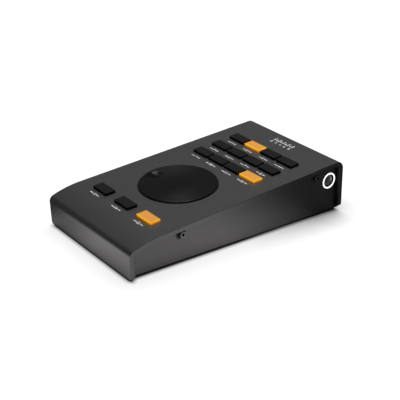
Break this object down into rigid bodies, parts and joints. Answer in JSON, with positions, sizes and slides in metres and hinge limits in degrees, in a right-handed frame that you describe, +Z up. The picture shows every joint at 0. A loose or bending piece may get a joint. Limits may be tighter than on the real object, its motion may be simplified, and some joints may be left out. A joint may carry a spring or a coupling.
{
  "type": "audio interface remote control",
  "caption": "Desktop remote with a bent metal cover, a sloping curved deck, a large finger dial, low oblong keys, and a jack in one side.",
  "frame": {"origin": "on the table, under the centre of the whole object", "axes": "+X to the right side with the jack, +Y to the raised rear, +Z up"},
  "size_m": [0.11, 0.2148, 0.0466],
  "materials": {
    "cover_paint": "fine satin powder coat, dark grey",
    "tray_paint": "satin black-grey paint",
    "foot_rubber": "matte",
    "block_aluminium": "machined",
    "black_screw": "black oxide",
    "dial_coat": "smooth satin black",
    "hub_aluminium": "turned",
    "plain_steel": "zinc plated",
    "black_plastic": "moulded",
    "bright_metal": "nickel plated",
    "board_laminate": "solder resist",
    "pillar_brass": "turned",
    "ring_white": "satin white",
    "contact_gold": "gold plated",
    "cable_grey": "smooth",
    "lamp_lens": "clear",
    "white_plastic": "moulded",
    "dome_silicone": "translucent grey silicone",
    "key_plastic": "smooth, near black",
    "key_lit_plastic": "translucent, lit from below"
  },
  "bodies": {
    "case": {"top_cover": "cover_paint", "bottom_tray": "tray_paint", "rubber_feet": "foot_rubber", "cover_blocks": "block_aluminium", "side_screws": "black_screw", "encoder_body": "black_plastic", "encoder_bush": "hub_aluminium", "encoder_nut": "bright_metal", "key_board": "board_laminate", "key_board_pillars": "plain_steel", "connector_board": "board_laminate", "connector_board_pillars": "pillar_brass", "board_screws": "plain_steel", "jack_body": "black_plastic", "jack_bush": "bright_metal", "jack_ring": "ring_white", "usb_shell": "bright_metal", "usb_insulator": "black_plastic", "usb_contacts": "contact_gold", "flat_cable_headers": "black_plastic", "flat_cable": "cable_grey", "control_chip": "black_plastic", "switch_housings": "black_plastic", "key_lamps": "lamp_lens", "key_domes": "dome_silicone"},
    "dial": {"dial_disc": "dial_coat", "dial_hub": "hub_aluminium", "hub_grub_screw": "black_screw", "encoder_shaft": "plain_steel"},
    "key_01": {"key_cap_01": "key_plastic", "key_stem_01": "white_plastic"},
    "key_02": {"key_cap_02": "key_lit_plastic", "key_stem_02": "white_plastic"},
    "key_03": {"key_cap_03": "key_plastic", "key_stem_03": "white_plastic"},
    "key_04": {"key_cap_04": "key_plastic", "key_stem_04": "white_plastic"},
    "key_05": {"key_cap_05": "key_plastic", "key_stem_05": "white_plastic"},
    "key_06": {"key_cap_06": "key_plastic", "key_stem_06": "white_plastic"},
    "key_07": {"key_cap_07": "key_plastic", "key_stem_07": "white_plastic"},
    "key_08": {"key_cap_08": "key_plastic", "key_stem_08": "white_plastic"},
    "key_09": {"key_cap_09": "key_plastic", "key_stem_09": "white_plastic"},
    "key_10": {"key_cap_10": "key_plastic", "key_stem_10": "white_plastic"},
    "key_11": {"key_cap_11": "key_plastic", "key_stem_11": "white_plastic"},
    "key_12": {"key_cap_12": "key_lit_plastic", "key_stem_12": "white_plastic"},
    "key_13": {"key_cap_13": "key_plastic", "key_stem_13": "white_plastic"},
    "key_14": {"key_cap_14": "key_plastic", "key_stem_14": "white_plastic"},
    "key_15": {"key_cap_15": "key_lit_plastic", "key_stem_15": "white_plastic"}
  },
  "joints": [
    {"name": "dial_turn", "type": "hinge", "parent": "case", "child": "dial", "pos_m": [0, -0.02364, 0.03608], "axis": [0, -0.0872, 0.9962], "continuous": true},
    {"name": "key_press_01", "type": "slide", "parent": "case", "child": "key_01", "axis": [0, 0.0872, -0.9962], "range_m": [0, 0.0012], "stiffness_N_per_m": 500, "springref_m": -0.0012},
    {"name": "key_press_02", "type": "slide", "parent": "case", "child": "key_02", "axis": [0, 0.0872, -0.9962], "range_m": [0, 0.0012], "stiffness_N_per_m": 500, "springref_m": -0.0012},
    {"name": "key_press_03", "type": "slide", "parent": "case", "child": "key_03", "axis": [0, 0.0872, -0.9962], "range_m": [0, 0.0012], "stiffness_N_per_m": 500, "springref_m": -0.0012},
    {"name": "key_press_04", "type": "slide", "parent": "case", "child": "key_04", "axis": [0, 0.0872, -0.9962], "range_m": [0, 0.0012], "stiffness_N_per_m": 500, "springref_m": -0.0012},
    {"name": "key_press_05", "type": "slide", "parent": "case", "child": "key_05", "axis": [0, 0.0872, -0.9962], "range_m": [0, 0.0012], "stiffness_N_per_m": 500, "springref_m": -0.0012},
    {"name": "key_press_06", "type": "slide", "parent": "case", "child": "key_06", "axis": [0, 0.0872, -0.9962], "range_m": [0, 0.0012], "stiffness_N_per_m": 500, "springref_m": -0.0012},
    {"name": "key_press_07", "type": "slide", "parent": "case", "child": "key_07", "axis": [0, 0.0872, -0.9962], "range_m": [0, 0.0012], "stiffness_N_per_m": 500, "springref_m": -0.0012},
    {"name": "key_press_08", "type": "slide", "parent": "case", "child": "key_08", "axis": [0, 0.0872, -0.9962], "range_m": [0, 0.0012], "stiffness_N_per_m": 500, "springref_m": -0.0012},
    {"name": "key_press_09", "type": "slide", "parent": "case", "child": "key_09", "axis": [0, 0.0872, -0.9962], "range_m": [0, 0.0012], "stiffness_N_per_m": 500, "springref_m": -0.0012},
    {"name": "key_press_10", "type": "slide", "parent": "case", "child": "key_10", "axis": [0, 0.0872, -0.9962], "range_m": [0, 0.0012], "stiffness_N_per_m": 500, "springref_m": -0.0012},
    {"name": "key_press_11", "type": "slide", "parent": "case", "child": "key_11", "axis": [0, 0.0872, -0.9962], "range_m": [0, 0.0012], "stiffness_N_per_m": 500, "springref_m": -0.0012},
    {"name": "key_press_12", "type": "slide", "parent": "case", "child": "key_12", "axis": [0, 0.0872, -0.9962], "range_m": [0, 0.0012], "stiffness_N_per_m": 500, "springref_m": -0.0012},
    {"name": "key_press_13", "type": "slide", "parent": "case", "child": "key_13", "axis": [0, 0.0872, -0.9962], "range_m": [0, 0.0012], "stiffness_N_per_m": 500, "springref_m": -0.0012},
    {"name": "key_press_14", "type": "slide", "parent": "case", "child": "key_14", "axis": [0, 0.0872, -0.9962], "range_m": [0, 0.0012], "stiffness_N_per_m": 500, "springref_m": -0.0012},
    {"name": "key_press_15", "type": "slide", "parent": "case", "child": "key_15", "axis": [0, 0.0872, -0.9962], "range_m": [0, 0.0012], "stiffness_N_per_m": 500, "springref_m": -0.0012}
  ]
}
